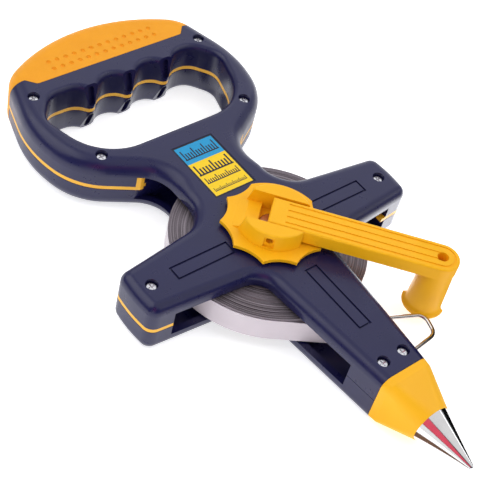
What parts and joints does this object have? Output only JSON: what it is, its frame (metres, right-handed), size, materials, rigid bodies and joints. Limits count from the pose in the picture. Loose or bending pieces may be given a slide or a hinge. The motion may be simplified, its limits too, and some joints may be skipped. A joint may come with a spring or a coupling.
{
  "type": "surveyor tape reel",
  "caption": "Open-frame surveyor's tape reel with a grooved carrying handle, folding crank, wound steel tape with end ring, and a ground spike.",
  "frame": {"origin": "where the reel's axis meets the flat back face, which the tool lies on", "axes": "+Z out of the front face along the reel's axis, +Y towards the carrying handle, -Y towards the ground spike, +X towards the side where the tape leaves"},
  "size_m": [0.1366, 0.2628, 0.0355],
  "materials": {
    "shell": "satin moulded plastic",
    "strip": "satin",
    "grip": "soft matt",
    "nose": "satin",
    "crank_plastic": "satin",
    "label": "printed film",
    "screw_steel": "zinc plated",
    "chrome": "polished",
    "spindle_steel": "turned",
    "bush": "turned",
    "spool": "satin",
    "tape": "enamelled steel tape",
    "end_plate": "nickel plated"
  },
  "bodies": {
    "frame": {"front_shell": "shell", "back_shell": "shell", "handle_strip": "strip", "right_arm_strip": "strip", "left_arm_strip": "strip", "grip_pad": "grip", "case_screws": "screw_steel", "label_plate": "label", "nose_cone": "nose", "ground_spike": "chrome", "spike_nut": "screw_steel", "tape_tail": "tape", "tape_end_plate": "end_plate", "end_plate_rivets": "screw_steel", "front_bush": "bush", "back_bush": "bush", "friction_washer": "spindle_steel", "back_cap": "shell"},
    "reel": {"tape_roll": "tape", "spool_core": "spool", "anchor_pin": "spindle_steel", "spindle": "spindle_steel", "spindle_key": "spindle_steel", "back_screw": "screw_steel", "crank_hub": "crank_plastic", "hub_screw": "screw_steel", "crank_pin": "screw_steel"},
    "crank": {"crank_arm": "crank_plastic", "knob_axle": "crank_plastic"},
    "knob": {"crank_knob": "crank_plastic"},
    "ring": {"end_ring": "chrome"}
  },
  "joints": [
    {"name": "reel_spin", "type": "hinge", "parent": "frame", "child": "reel", "pos_m": [0, 0, 0.0126], "axis": [0, 0, 1], "range_deg": [-2, 30]},
    {"name": "crank_fold", "type": "hinge", "parent": "reel", "child": "crank", "pos_m": [0, 0, 0.0318], "axis": [-0.7638, -0.6455, 0], "range_deg": [0, 170]},
    {"name": "knob_spin", "type": "hinge", "parent": "crank", "child": "knob", "pos_m": [0.04415, -0.05224, 0.015], "axis": [0, 0, 1], "continuous": true},
    {"name": "ring_swing", "type": "hinge", "parent": "frame", "child": "ring", "pos_m": [0.0167, -0.061, 0.0126], "axis": [0, 1, 0], "range_deg": [-80, 50]}
  ]
}
